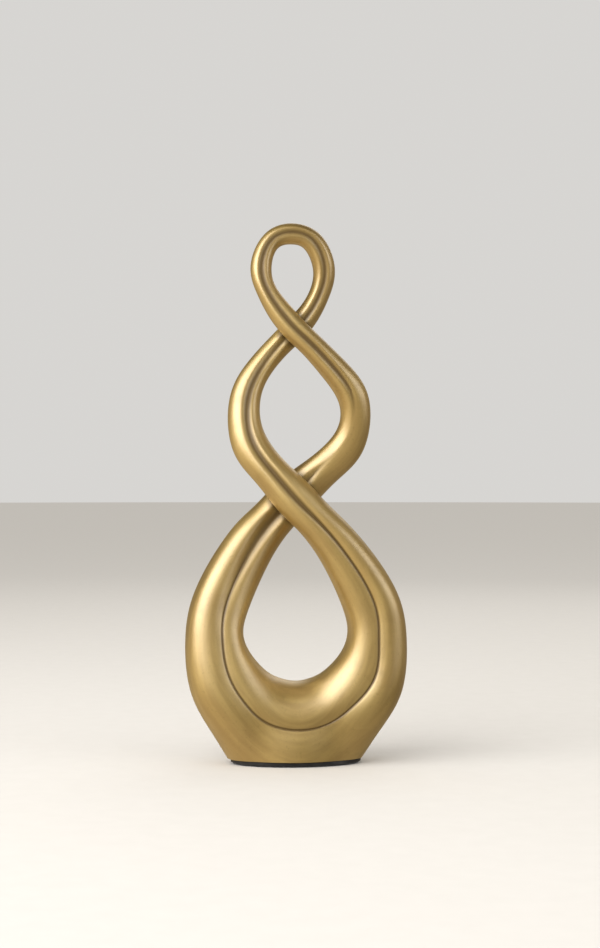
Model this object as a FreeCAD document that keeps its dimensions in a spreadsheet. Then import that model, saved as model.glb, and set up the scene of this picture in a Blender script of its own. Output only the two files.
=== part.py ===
import FreeCAD, Part
import Sketcher
import math
import os

# A tall metal knot sculpture: one two-lobed band that rises from a cored foot, crosses
# itself twice and closes in a small loop at the top. It is cast in four pieces, because
# a band that winds round itself can't leave a two-part mould. The pieces are doweled,
# pinned where they cross, and closed underneath by a steel plate and a felt pad.
# X runs across the knot, Y towards its back, Z up from the table.

doc = FreeCAD.newDocument("metal_knot")
Vector = FreeCAD.Vector
Rotation = FreeCAD.Rotation
CENTRE = Vector(0, 0, 0)
TO_BACK = Vector(0, 1, 0)
UP = Vector(0, 0, 1)
TOWARDS_BACK = Rotation(Vector(1, 0, 0), -90)
QUARTER_TURN = math.pi / 2
COUNTERSINK_ANGLE = 90

SIZES = (
    # The knot as a whole
    ("knot_height", 400, "table to the top of the top loop"),
    ("knot_width", 164, "across the lower loop"),
    ("knot_depth", 56, "front to back through the belly of the lower loop"),
    ("weave_depth", 22.8, "between the middles of the two strands where they cross"),
    # The underside
    ("felt_thickness", 1.5, "felt pad"),
    ("felt_inset", 1.5, "felt edge inside the plate edge"),
    ("plate_thickness", 2.5, "steel base plate"),
    ("plate_inset", 1, "plate edge inside the foot edge"),
    ("foot_length_share", 0.602, "foot length as a share of the knot width"),
    ("foot_depth_share", 0.94, "foot depth as a share of the knot depth"),
    ("core_wall", 8, "wall round the cored foot"),
    ("core_depth", 26, "height of the cored pocket"),
    ("core_lean", 1.8, "how far the pocket's walls lean in on the way up"),
    ("boss_radius", 6, "screw boss inside the pocket"),
    # Screws that hold the plate
    ("screw_place_share", 0.7, "screws, shares of the core's half length and half depth"),
    ("screw_length", 12, "whole countersunk screw"),
    ("thread_radius", 2, "screw thread"),
    ("screw_head_radius", 4, "countersunk head"),
    ("shank_clearance", 0.25, "radial, in the plate"),
    ("hex_flats", 2.5, "socket across its flats"),
    ("hex_depth", 1.2, "socket depth"),
    # Joints between the castings
    ("lower_seam_share", 0.4125, "seams under the middle crossing, share of the height"),
    ("top_seam_share", 0.8425, "seams over the top crossing, share of the height"),
    ("lower_dowel_radius", 4, "dowels of the lower seams"),
    ("lower_dowel_length", 24, "dowels of the lower seams"),
    ("top_dowel_radius", 2, "dowels of the top seams"),
    ("top_dowel_length", 10, "dowels of the top seams"),
    ("bar_chamfer", 0.5, "on both ends of each dowel and pin"),
    ("bar_end_gap", 0.5, "air past each end of a dowel, pin or screw"),
    ("middle_pin_radius", 2.5, "pin of the middle crossing"),
    ("middle_pin_length", 14, "pin of the middle crossing"),
    ("top_pin_radius", 2, "pin of the top crossing"),
    ("top_pin_length", 10, "pin of the top crossing"),
)

sizes = doc.addObject("Spreadsheet::Sheet", "sizes")
for row, (name, value, meaning) in enumerate(SIZES, 1):
    sizes.set("A%d" % row, meaning)
    sizes.set("B%d" % row, str(value))
    sizes.setAlias("B%d" % row, name)
doc.recompute()


def size(name):
    return float(getattr(sizes, name))


# Where the band's two edges run in the front view, station by station: down its left from
# the top, over to the right in front at the top crossing, back to the left behind at the
# middle crossing, round the lower loop and up again. Edge A starts as the outer edge.
# X values are shares of the knot's width and Z values shares of its height. The foot's
# stations reach below the table, so that its flanks run straight down to the cut.
BAND_EDGE_SHARES = (
    # station, edge A x, edge A z, edge B x, edge B z
    ("top", -0.0159, 1.0000, -0.0159, 0.9610),
    ("top left shoulder", -0.1378, 0.9812, -0.0793, 0.9540),
    ("top left side", -0.2073, 0.9187, -0.1122, 0.9175),
    ("top left waist", -0.1780, 0.8665, -0.0951, 0.8815),
    ("top left end", -0.1207, 0.8215, -0.0341, 0.8480),
    ("top crossing, front", -0.0530, 0.7872, 0.0293, 0.8190),
    ("below the top, right", 0.0238, 0.7575, 0.1122, 0.7865),
    ("middle right shoulder", 0.1201, 0.7130, 0.2232, 0.7430),
    ("middle right, upper", 0.1945, 0.6663, 0.3287, 0.6787),
    ("middle right, lower", 0.1780, 0.6105, 0.3098, 0.5795),
    ("middle right waist", 0.0500, 0.5600, 0.1860, 0.5200),
    ("middle crossing, back", -0.0732, 0.5217, 0.0622, 0.4655),
    ("below the middle, left", -0.1817, 0.4765, -0.0183, 0.4300),
    ("lower left shoulder", -0.2805, 0.4365, -0.1000, 0.3830),
    ("lower left, upper", -0.4561, 0.3185, -0.2146, 0.2828),
    ("lower left side", -0.5000, 0.2275, -0.2378, 0.2375),
    ("lower left hip", -0.4720, 0.1275, -0.2024, 0.2015),
    ("lower left flank", -0.3634, 0.0453, -0.1372, 0.1713),
    ("foot, left", -0.2256, -0.0338, -0.0762, 0.1585),
    ("foot, middle", 0, -0.0750, 0, 0.1507),
    ("foot, right", 0.2150, -0.0338, 0.0732, 0.1585),
    ("lower right flank", 0.3585, 0.0457, 0.1341, 0.1713),
    ("lower right hip", 0.4744, 0.1275, 0.2037, 0.2015),
    ("lower right side", 0.5000, 0.2275, 0.2348, 0.2375),
    ("lower right, upper", 0.4524, 0.3185, 0.2134, 0.2828),
    ("lower right shoulder", 0.2524, 0.4335, 0.0976, 0.3805),
    ("below the middle, right", 0.1390, 0.4795, -0.0024, 0.4335),
    ("middle crossing, front", 0.0488, 0.5185, -0.0848, 0.4672),
    ("middle left waist", -0.0567, 0.5600, -0.1878, 0.5200),
    ("middle left, lower", -0.1433, 0.6105, -0.2878, 0.5795),
    ("middle left, upper", -0.1622, 0.6663, -0.2982, 0.6787),
    ("middle left shoulder", -0.1244, 0.7122, -0.2189, 0.7420),
    ("below the top, left", -0.0366, 0.7580, -0.1220, 0.7870),
    ("top crossing, back", 0.0402, 0.7885, -0.0445, 0.8192),
    ("top right end", 0.1049, 0.8230, 0.0232, 0.8480),
    ("top right waist", 0.1561, 0.8665, 0.0695, 0.8815),
    ("top right side", 0.1793, 0.9187, 0.0793, 0.9175),
    ("top right shoulder", 0.1085, 0.9812, 0.0378, 0.9535),
)

# The band's body at the first twenty stations. The rest repeat it after a half turn about
# Z, which swaps front and back. Place is the share of the weave's depth by which the
# band's middle lies behind the knot's middle plane. Lobe A and lobe B are half thicknesses
# as shares of the knot's depth. Each crease lies at a share of the half width, towards
# edge A, and is as thick as its share of the thinner lobe. Fullness squares the lobes.
BAND_BODY_SHARES = (
    # place, lobe A, lobe B, front crease at, thick, back crease at, thick, fullness
    (0, 0.136, 0.136, 0.10, 0.88, 0.10, 0.88, 0),
    (-0.057, 0.136, 0.136, 0.05, 0.86, 0.05, 0.88, 0),
    (-0.175, 0.139, 0.139, 0, 0.85, 0, 0.87, 0),
    (-0.272, 0.143, 0.143, 0, 0.84, 0, 0.87, 0),
    (-0.320, 0.150, 0.150, 0, 0.83, 0, 0.87, 0),
    (-0.342, 0.157, 0.157, 0, 0.83, 0, 0.87, 0),
    (-0.320, 0.164, 0.164, 0, 0.83, 0, 0.85, 0),
    (-0.228, 0.175, 0.175, 0.04, 0.86, 0, 0.85, 0.03),
    (-0.070, 0.191, 0.191, 0.25, 0.98, 0, 0.84, 0.06),
    (0.193, 0.207, 0.207, 0.42, 0.965, 0, 0.83, 0.06),
    (0.395, 0.218, 0.218, 0.20, 0.90, 0, 0.83, 0.02),
    (0.500, 0.228, 0.228, 0, 0.88, 0, 0.84, 0.02),
    (0.482, 0.257, 0.246, 0, 0.86, 0, 0.86, 0.03),
    (0.412, 0.295, 0.268, -0.04, 0.89, 0.02, 0.92, 0.05),
    (0.193, 0.366, 0.330, -0.14, 0.965, 0.04, 0.97, 0.10),
    (0.088, 0.410, 0.384, -0.24, 0.98, -0.05, 0.98, 0.12),
    (0.035, 0.461, 0.423, -0.18, 0.985, 0.02, 0.985, 0.12),
    (0.009, 0.471, 0.450, -0.13, 0.985, -0.04, 0.985, 0.02),
    (0, 0.450, 0.461, -0.20, 0.985, -0.18, 0.985, -0.05),
    (0, 0.500, 0.471, -0.27, 0.985, -0.27, 0.985, 0),
)

# Stations by their place in the tables
TOP_CROSSING_FRONT = 5
MIDDLE_CROSSING_BACK = 11
FOOT_MIDDLE = 19
MIDDLE_CROSSING_FRONT = 27
TOP_CROSSING_BACK = 33
STATION_COUNT = len(BAND_EDGE_SHARES)

SECTIONS_PER_STATION = 3
POINTS_PER_LOBE = 7
HALVINGS = 40


def station_row(index):
    """All the band's numbers at a station: six lengths for its place, then its body."""
    _, ax, az, bx, bz = BAND_EDGE_SHARES[index]
    if index <= FOOT_MIDDLE:
        place, lobe_a, lobe_b, front, front_thick, back, back_thick, fullness = (
            BAND_BODY_SHARES[index])
    else:
        place, lobe_a, lobe_b, back, back_thick, front, front_thick, fullness = (
            BAND_BODY_SHARES[STATION_COUNT - index])
        place = -place
    width = size("knot_width")
    height = size("knot_height")
    depth = size("knot_depth")
    return (
        ax * width, az * height, bx * width, bz * height, place * size("weave_depth"),
        lobe_a * depth, lobe_b * depth, front, front_thick, back, back_thick, fullness)


def law_parameters(rows):
    """Spacing of the stations along the laws: the root of the way between middles."""
    middles = [Vector((ax + bx) / 2, y, (az + bz) / 2) for ax, az, bx, bz, y, *_ in rows]
    parameters = [0.0]
    for here, there in zip(middles, middles[1:] + middles[:1]):
        parameters.append(parameters[-1] + math.sqrt((there - here).Length))
    return parameters


def closed_law(values):
    """A smooth closed law through one value per station. Its Y only keeps points apart."""
    law = Part.BSplineCurve()
    points = [Vector(value, number, 0) for number, value in enumerate(values)]
    law.interpolate(Points=points, PeriodicFlag=True, Parameters=PARAMETERS)
    return law


ROWS = [station_row(index) for index in range(STATION_COUNT)]
PARAMETERS = law_parameters(ROWS)
LAWS = [closed_law(values) for values in zip(*ROWS)]


def band_at(station):
    """The band's numbers at a station number, which may lie between two stations."""
    whole = math.floor(station)
    index = whole % STATION_COUNT
    start, end = PARAMETERS[index], PARAMETERS[index + 1]
    parameter = start + (station - whole) * (end - start)
    return [law.value(parameter).x for law in LAWS]


def middle_at(station):
    """The band's middle at a station number."""
    ax, az, bx, bz, y, *_ = band_at(station)
    return Vector((ax + bx) / 2, y, (az + bz) / 2)


def lobe_quarter(half_width, crease, half_depth, thick, fullness):
    """Half a lobe's outline from its crease to its edge, as offsets across and deep."""
    low, high = 0.0, QUARTER_TURN
    for _ in range(HALVINGS):
        angle = (low + high) / 2
        rise = math.sin(angle) * (1 + fullness * math.cos(angle) ** 2)
        if rise * half_depth < thick:
            low = angle
        else:
            high = angle
    reach = math.cos(low) * (1 + fullness * math.sin(low) ** 2)
    radius = (half_width - crease) / (1 + reach)
    centre = half_width - radius
    start = math.pi - low
    outline = []
    for step in range(POINTS_PER_LOBE):
        angle = start * (1 - step / (POINTS_PER_LOBE - 1))
        across = centre + radius * math.cos(angle) * (1 + fullness * math.sin(angle) ** 2)
        deep = half_depth * math.sin(angle) * (1 + fullness * math.cos(angle) ** 2)
        outline.append((across, deep))
    return outline


def smooth_edge(points):
    """One edge through the points, with the same parameters in every section."""
    curve = Part.BSplineCurve()
    last = len(points) - 1
    curve.interpolate(Points=points, Parameters=[step / last for step in range(last + 1)])
    return curve.toShape()


def band_section(station):
    """The band's closed section: lobe A's outline, then lobe B's, crease to crease."""
    (ax, az, bx, bz, y, lobe_a, lobe_b, front, front_thick, back, back_thick,
     fullness) = band_at(station)
    middle = Vector((ax + bx) / 2, y, (az + bz) / 2)
    across = Vector(ax - bx, 0, az - bz)
    half_width = across.Length / 2
    across.normalize()
    thinner = min(lobe_a, lobe_b)

    def outline(side, half_depth):
        halves = []
        for share, thick in ((front, front_thick), (back, back_thick)):
            halves.append(lobe_quarter(
                half_width, side * share * half_width, half_depth, thick * thinner, fullness))
        front_half = [middle + across * side * u - TO_BACK * v for u, v in halves[0]]
        back_half = [middle + across * side * u + TO_BACK * v for u, v in halves[1]]
        return front_half + back_half[-2::-1]

    edge_a = smooth_edge(outline(1, lobe_a))
    edge_b = smooth_edge(outline(-1, lobe_b)[::-1])
    return Part.Wire([edge_a, edge_b])


def band_loft(first, last):
    """A solid stretch of the band from one station number to another."""
    count = round((last - first) * SECTIONS_PER_STATION)
    wires = [band_section(first + step / SECTIONS_PER_STATION) for step in range(count + 1)]
    return Part.makeLoft(wires, True, False)


def feature(name, shape):
    """A document object that holds a shape worked out from the laws."""
    made = doc.addObject("Part::Feature", name)
    made.Shape = shape
    return made


def bind(thing, expressions):
    """Ties an object's properties to the sheet."""
    for key, text in expressions.items():
        thing.setExpression(key, text)
    return thing


def primitive(kind, name, sizes_of_it, x=None, y=None, z=None):
    """A Part primitive whose sizes and place follow the sheet."""
    made = bind(doc.addObject("Part::" + kind, name), sizes_of_it)
    for axis, text in (("x", x), ("y", y), ("z", z)):
        if text:
            made.setExpression("Placement.Base." + axis, text)
    return made


def cut(name, base, tool):
    made = doc.addObject("Part::Cut", name)
    made.Base = base
    made.Tool = tool
    return made


def fuse(name, *shapes):
    made = doc.addObject("Part::MultiFuse", name)
    made.Shapes = list(shapes)
    return made


def base_plane(body):
    """The body's own horizontal plane."""
    return [plane for plane in body.Origin.OriginFeatures if plane.Role == "XY_Plane"][0]


def sketch_in(body, name):
    """An empty sketch on the body's base plane."""
    sketch = body.newObject("Sketcher::SketchObject", name)
    sketch.AttachmentSupport = (base_plane(body), "")
    sketch.MapMode = "FlatFace"
    return sketch


def constrain(sketch, kind, *where, text=None):
    """Adds a constraint; with a text, its value follows the sheet."""
    number = sketch.addConstraint(Sketcher.Constraint(kind, *where))
    if text:
        sketch.setExpression("Constraints[%d]" % number, text)


# The underside's levels and outlines as expressions
FOOT_FACE = "(sizes.felt_thickness + sizes.plate_thickness)"
HALF_LENGTH = "(sizes.knot_width * sizes.foot_length_share / 2)"
HALF_DEPTH = "(sizes.knot_depth * sizes.foot_depth_share / 2)"
HEAD_HEIGHT = "(sizes.screw_head_radius - sizes.thread_radius)"
half_length = size("knot_width") * size("foot_length_share") / 2
half_depth = size("knot_depth") * size("foot_depth_share") / 2

# Seam levels, and two levels that are clear of the knot
LOWER_SEAM = "(sizes.knot_height * sizes.lower_seam_share)"
TOP_SEAM = "(sizes.knot_height * sizes.top_seam_share)"
BETWEEN_SEAMS = "((%s + %s) / 2)" % (LOWER_SEAM, TOP_SEAM)
BELOW_ALL = "(-sizes.knot_height)"
ABOVE_ALL = "(2 * sizes.knot_height)"


def slab(name, low, high):
    """A block wider than the knot, between two levels, that trims a casting."""
    block = {
        "Length": "2 * sizes.knot_width",
        "Width": "2 * sizes.knot_width",
        "Height": high + " - " + low,
    }
    return primitive("Box", name, block, "-sizes.knot_width", "-sizes.knot_width", low)


below_foot = slab("below_foot", BELOW_ALL, FOOT_FACE)
above_lower_seam = slab("above_lower_seam", LOWER_SEAM, ABOVE_ALL)
below_lower_seam = slab("below_lower_seam", BELOW_ALL, LOWER_SEAM)
above_top_seam = slab("above_top_seam", TOP_SEAM, ABOVE_ALL)
below_top_seam = slab("below_top_seam", BELOW_ALL, TOP_SEAM)
lower_half = slab("lower_half", BELOW_ALL, BETWEEN_SEAMS)
upper_half = slab("upper_half", BETWEEN_SEAMS, ABOVE_ALL)

# Four stretches of the band, each longer than the casting that is cut from it
lower_band = feature(
    "lower_band", band_loft(MIDDLE_CROSSING_BACK + 1, MIDDLE_CROSSING_FRONT - 1))
right_band = feature(
    "right_band", band_loft(TOP_CROSSING_FRONT - 2, MIDDLE_CROSSING_BACK + 3))
left_band = feature(
    "left_band", band_loft(MIDDLE_CROSSING_FRONT - 3, TOP_CROSSING_BACK + 2))
top_band = feature(
    "top_band", band_loft(TOP_CROSSING_BACK - STATION_COUNT, TOP_CROSSING_FRONT))


def seam_middle(first, last, level):
    """The point where the band's middle passes a level, between two stations."""
    rising = middle_at(last).z > middle_at(first).z
    for _ in range(HALVINGS):
        station = (first + last) / 2
        if (middle_at(station).z < level) == rising:
            first = station
        else:
            last = station
    return middle_at(first)


def crossing_middle(front, back):
    """The point on the knot's middle plane where two strands cross."""
    point = (middle_at(front) + middle_at(back)) / 2
    return Vector(point.x, 0, point.z)


def steel_bar(name, radius, length):
    """A round bar with both ends chamfered, standing on its own base plane."""
    body = doc.addObject("PartDesign::Body", name)
    sketch = sketch_in(body, name + "_round")
    sketch.addGeometry(Part.Circle(CENTRE, UP, size(radius)))
    constrain(sketch, "Coincident", 0, 3, -1, 1)
    constrain(sketch, "Radius", 0, size(radius), text="sizes." + radius)
    bar = body.newObject("PartDesign::Pad", name + "_bar")
    bar.Profile = sketch
    bar.setExpression("Length", "sizes." + length)
    doc.recompute()
    rims = ["Edge%d" % number for number, edge in enumerate(bar.Shape.Edges, 1)
            if isinstance(edge.Curve, Part.Circle)]
    chamfer = body.newObject("PartDesign::Chamfer", name + "_chamfer")
    chamfer.Base = (bar, rims)
    chamfer.setExpression("Size", "sizes.bar_chamfer")
    return body


def bar_and_socket(name, kind, point, rotation, axis):
    """A dowel or pin centred on a point, and the socket it leaves in both castings."""
    radius = kind + "_radius"
    length = kind + "_length"
    bar = steel_bar(name, radius, length)
    socket = primitive("Cylinder", name + "_socket", {
        "Radius": "sizes." + radius,
        "Height": "sizes.%s + 2 * sizes.bar_end_gap" % length,
    })
    centre = "sizes.knot_height * %s" % SEAM_SHARES[kind] if axis == "z" else "0"
    for thing in (bar, socket):
        thing.Placement = FreeCAD.Placement(point, rotation)
    bar.setExpression("Placement.Base." + axis, "%s - sizes.%s / 2" % (centre, length))
    socket.setExpression(
        "Placement.Base." + axis,
        "%s - sizes.%s / 2 - sizes.bar_end_gap" % (centre, length))
    return bar, socket


# Dowels stand upright across the seams, so that each casting is lowered onto the next
SEAM_SHARES = {
    "lower_dowel": "sizes.lower_seam_share",
    "top_dowel": "sizes.top_seam_share",
}
DOWELS = (
    # name, kind, the stations that the seam lies between
    ("lower_left_dowel", "lower_dowel", MIDDLE_CROSSING_BACK, MIDDLE_CROSSING_BACK + 3),
    ("lower_right_dowel", "lower_dowel", MIDDLE_CROSSING_FRONT - 3, MIDDLE_CROSSING_FRONT),
    ("top_left_dowel", "top_dowel", TOP_CROSSING_FRONT - 3, TOP_CROSSING_FRONT),
    ("top_right_dowel", "top_dowel", TOP_CROSSING_BACK, TOP_CROSSING_BACK + 3),
)
# Pins lie level, front to back, through the bedded faces of a crossing
PINS = (
    # name, kind, front station, back station
    ("middle_crossing_pin", "middle_pin", MIDDLE_CROSSING_FRONT, MIDDLE_CROSSING_BACK),
    ("top_crossing_pin", "top_pin", TOP_CROSSING_FRONT, TOP_CROSSING_BACK),
)
bars = []
sockets = {}
for name, kind, first, last in DOWELS:
    level = size("knot_height") * size(kind.replace("dowel", "seam_share"))
    point = seam_middle(first, last, level)
    bar, sockets[name] = bar_and_socket(name, kind, point, Rotation(), "z")
    bars.append(bar)
for name, kind, front, back in PINS:
    point = crossing_middle(front, back)
    bar, sockets[name] = bar_and_socket(name, kind, point, TOWARDS_BACK, "y")
    bars.append(bar)

# The corners where a screw goes up through the plate into the foot
CORNERS = (
    # name, side along X, side along Y
    ("left_front", -1, -1),
    ("right_front", 1, -1),
    ("right_back", 1, 1),
    ("left_back", -1, 1),
)


def screw_place(side, half):
    """An expression for a screw's place on one side of the foot's middle."""
    return "%d * (%s - sizes.core_wall) * sizes.screw_place_share" % (side, half)


def at_corner(side_x, side_y):
    """Expressions for a screw's place, in X and in Y."""
    return screw_place(side_x, HALF_LENGTH), screw_place(side_y, HALF_DEPTH)


def foot_outline(body, name, inset):
    """A sketch of the foot's elliptical outline at an inset."""
    sketch = sketch_in(body, name)
    less = " - ".join("sizes." + name for name in inset)
    inset_value = sum(size(name) for name in inset)
    sketch.addGeometry(Part.Ellipse(CENTRE, half_length - inset_value, half_depth - inset_value))
    sketch.exposeInternalGeometry(0)
    long_axis, short_axis = 1, 2
    constrain(sketch, "Coincident", 0, 3, -1, 1)
    constrain(sketch, "Horizontal", long_axis)
    for axis, reach, half in ((long_axis, half_length, HALF_LENGTH),
                              (short_axis, half_depth, HALF_DEPTH)):
        constrain(sketch, "Distance", axis, 2 * (reach - inset_value),
                  text="2 * (%s - %s)" % (half, less))
    return sketch


def foot_slab(name, inset, thickness):
    """A slab that follows the foot's outline at an inset."""
    body = doc.addObject("PartDesign::Body", name)
    pad = body.newObject("PartDesign::Pad", name + "_pad")
    pad.Profile = foot_outline(body, name + "_outline", inset)
    pad.setExpression("Length", "sizes." + thickness)
    return body


def foot_core():
    """The space of the foot's tapered core, less the four screw bosses left in it."""
    body = doc.addObject("PartDesign::Body", "foot_core")
    mouth = foot_outline(body, "core_mouth", ["core_wall"])
    roof = foot_outline(body, "core_roof", ["core_wall", "core_lean"])
    roof.setExpression("AttachmentOffset.Base.z", "sizes.core_depth")
    doc.recompute()
    loft = body.newObject("PartDesign::AdditiveLoft", "core_loft")
    loft.Profile = mouth
    loft.Sections = [roof]
    loft.Ruled = True
    body.setExpression("Placement.Base.z", FOOT_FACE)
    bosses = [
        primitive("Cylinder", corner + "_boss", {
            "Radius": "sizes.boss_radius",
            "Height": "sizes.core_depth",
        }, *at_corner(side_x, side_y), FOOT_FACE)
        for corner, side_x, side_y in CORNERS]
    return cut("core_space", body, fuse("bosses", *bosses))


def tapped_hole(corner, side_x, side_y):
    """The space of one tapped hole in the foot, a little deeper than its screw."""
    return primitive("Cylinder", corner + "_tapping", {
        "Radius": "sizes.thread_radius",
        "Height": "sizes.screw_length + sizes.bar_end_gap",
    }, *at_corner(side_x, side_y), "sizes.felt_thickness")


def screw(corner, side_x, side_y):
    """A countersunk screw with a hexagon socket, head down and flush with the plate."""
    place = at_corner(side_x, side_y)
    head = primitive("Cone", corner + "_head", {
        "Radius1": "sizes.screw_head_radius",
        "Radius2": "sizes.thread_radius",
        "Height": HEAD_HEIGHT,
    }, *place, "sizes.felt_thickness")
    shank = primitive("Cylinder", corner + "_shank", {
        "Radius": "sizes.thread_radius",
        "Height": "sizes.screw_length - " + HEAD_HEIGHT,
    }, *place, "sizes.felt_thickness + " + HEAD_HEIGHT)
    hexagon = primitive("Prism", corner + "_hexagon", {
        "Circumradius": "sizes.hex_flats / sqrt(3)",
        "Height": "sizes.hex_depth",
    }, *place, "sizes.felt_thickness")
    return cut(corner + "_screw", fuse(corner + "_blank", head, shank), hexagon)


def plate():
    """The steel plate, with four countersunk holes from below."""
    body = foot_slab("base_plate", ["plate_inset"], "plate_thickness")
    body.setExpression("Placement.Base.z", "sizes.felt_thickness")
    sketch = sketch_in(body, "plate_hole_centres")
    reach_x = (half_length - size("core_wall")) * size("screw_place_share")
    reach_y = (half_depth - size("core_wall")) * size("screw_place_share")
    for number, (_, side_x, side_y) in enumerate(CORNERS):
        centre = Vector(side_x * reach_x, side_y * reach_y, 0)
        sketch.addGeometry(Part.Circle(centre, UP, size("thread_radius")))
        ends = [(number, 3), (-1, 1)]
        for kind, side, reach, half in (("DistanceX", side_x, reach_x, HALF_LENGTH),
                                        ("DistanceY", side_y, reach_y, HALF_DEPTH)):
            start, stop = ends if side < 0 else ends[::-1]
            constrain(sketch, kind, *start, *stop, reach, text=screw_place(1, half))
        constrain(sketch, "Radius", number, size("thread_radius"), text="sizes.thread_radius")
    doc.recompute()
    holes = body.newObject("PartDesign::Hole", "plate_holes")
    holes.Profile = sketch
    holes.ThreadType = "None"
    holes.DepthType = "ThroughAll"
    holes.Reversed = True
    holes.HoleCutType = "Countersink"
    holes.HoleCutCustomValues = True
    holes.HoleCutCountersinkAngle = COUNTERSINK_ANGLE
    bind(holes, {
        "Diameter": "2 * (sizes.thread_radius + sizes.shank_clearance)",
        "HoleCutDiameter": "2 * sizes.screw_head_radius",
    })
    return body


tapped_holes = [tapped_hole(*corner) for corner in CORNERS]
base_screws = doc.addObject("Part::Compound", "base_screws")
base_screws.Links = [screw(*corner) for corner in CORNERS]
base_plate = plate()
felt_pad = foot_slab("felt_pad", ["plate_inset", "felt_inset"], "felt_thickness")

# The lower loop stands on the plate: cut flat, cored, tapped, and trimmed at its seams
lower_loop = cut("lower_loop", lower_band, fuse(
    "lower_cuts", below_foot, above_lower_seam, foot_core(), *tapped_holes,
    sockets["lower_left_dowel"], sockets["lower_right_dowel"]))

# Each arm is hollowed where it lies behind, and the strand in front beds into it
right_in_front = cut("right_in_front", right_band, lower_half)
left_in_front = cut("left_in_front", left_band, upper_half)
right_arm = cut("right_arm", cut("right_coped", right_band, left_in_front), fuse(
    "right_cuts", below_lower_seam, above_top_seam, sockets["lower_left_dowel"],
    sockets["top_left_dowel"], sockets["middle_crossing_pin"], sockets["top_crossing_pin"]))
left_arm = cut("left_arm", cut("left_coped", left_band, right_in_front), fuse(
    "left_cuts", below_lower_seam, above_top_seam, sockets["lower_right_dowel"],
    sockets["top_right_dowel"], sockets["middle_crossing_pin"], sockets["top_crossing_pin"]))
top_loop = cut("top_loop", top_band, fuse(
    "top_cuts", below_top_seam, sockets["top_left_dowel"], sockets["top_right_dowel"]))

nodes = [lower_loop, left_arm, right_arm, top_loop] + bars + [base_plate, base_screws, felt_pad]
doc.recompute()

for thing in doc.Objects:
    if "Invalid" in thing.State or "Error" in thing.State:
        raise RuntimeError("%s didn't recompute" % thing.Label)
for node in nodes:
    solids = len(CORNERS) if node is base_screws else 1
    if node.Shape.isNull() or not node.Shape.isValid() or len(node.Shape.Solids) != solids:
        raise RuntimeError("%s isn't %d sound solid" % (node.Label, solids))

os.makedirs("parts", exist_ok=True)
for node in nodes:
    node.Shape.exportStep("parts/%s.step" % node.Label)
    print(node.Label, "volume in cubic millimetres:", round(node.Shape.Volume))
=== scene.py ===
import math
import bmesh
import bpy
import numpy as np
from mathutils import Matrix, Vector
from mathutils.bvhtree import BVHTree


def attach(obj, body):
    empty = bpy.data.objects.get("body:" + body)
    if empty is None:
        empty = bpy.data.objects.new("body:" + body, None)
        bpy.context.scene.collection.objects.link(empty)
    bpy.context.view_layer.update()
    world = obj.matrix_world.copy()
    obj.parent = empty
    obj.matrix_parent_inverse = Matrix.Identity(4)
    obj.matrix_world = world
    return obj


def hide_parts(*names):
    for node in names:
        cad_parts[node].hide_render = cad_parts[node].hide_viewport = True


# The looks of a tall metal knot sculpture: the four leafed castings with their rolled
# lobes, valleys and scribed line, the black plate and felt under the foot, the steel inside.
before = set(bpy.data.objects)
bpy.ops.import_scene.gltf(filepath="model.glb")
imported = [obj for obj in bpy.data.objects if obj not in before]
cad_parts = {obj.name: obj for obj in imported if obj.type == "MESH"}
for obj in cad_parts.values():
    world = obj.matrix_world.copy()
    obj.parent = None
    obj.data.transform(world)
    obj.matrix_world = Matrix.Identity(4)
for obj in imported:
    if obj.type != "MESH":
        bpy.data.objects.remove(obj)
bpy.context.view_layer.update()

MM = 0.001

# Sizes of the knot in millimetres
KNOT_WIDTH = 164
KNOT_HEIGHT = 400
KNOT_DEPTH = 56
WEAVE_DEPTH = 22.8
FOOT_LEVEL = 4
LOWER_SEAM = 165
TOP_SEAM = 337

# Where the band's edges run in the front view: X as shares of the width, Z of the height
BAND_EDGE_SHARES = (
    # edge A x, edge A z, edge B x, edge B z
    (-0.0159, 1.0000, -0.0159, 0.9610),
    (-0.1378, 0.9812, -0.0793, 0.9540),
    (-0.2073, 0.9187, -0.1122, 0.9175),
    (-0.1780, 0.8665, -0.0951, 0.8815),
    (-0.1207, 0.8215, -0.0341, 0.8480),
    (-0.0530, 0.7872, 0.0293, 0.8190),
    (0.0238, 0.7575, 0.1122, 0.7865),
    (0.1201, 0.7130, 0.2232, 0.7430),
    (0.1945, 0.6663, 0.3287, 0.6787),
    (0.1780, 0.6105, 0.3098, 0.5795),
    (0.0500, 0.5600, 0.1860, 0.5200),
    (-0.0732, 0.5217, 0.0622, 0.4655),
    (-0.1817, 0.4765, -0.0183, 0.4300),
    (-0.2805, 0.4365, -0.1000, 0.3830),
    (-0.4561, 0.3185, -0.2146, 0.2828),
    (-0.5000, 0.2275, -0.2378, 0.2375),
    (-0.4720, 0.1275, -0.2024, 0.2015),
    (-0.3634, 0.0453, -0.1372, 0.1713),
    (-0.2256, -0.0338, -0.0762, 0.1574),
    (0, -0.0750, 0, 0.1512),
    (0.2150, -0.0338, 0.0732, 0.1574),
    (0.3585, 0.0457, 0.1341, 0.1713),
    (0.4744, 0.1275, 0.2037, 0.2015),
    (0.5000, 0.2275, 0.2348, 0.2375),
    (0.4524, 0.3185, 0.2134, 0.2828),
    (0.2524, 0.4335, 0.0976, 0.3805),
    (0.1390, 0.4795, -0.0024, 0.4335),
    (0.0488, 0.5185, -0.0848, 0.4672),
    (-0.0567, 0.5600, -0.1878, 0.5200),
    (-0.1433, 0.6105, -0.2878, 0.5795),
    (-0.1622, 0.6663, -0.2982, 0.6787),
    (-0.1244, 0.7122, -0.2189, 0.7420),
    (-0.0366, 0.7580, -0.1220, 0.7870),
    (0.0402, 0.7885, -0.0445, 0.8192),
    (0.1049, 0.8230, 0.0232, 0.8480),
    (0.1561, 0.8665, 0.0695, 0.8815),
    (0.1793, 0.9187, 0.0793, 0.9175),
    (0.1085, 0.9812, 0.0378, 0.9535),
)

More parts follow.
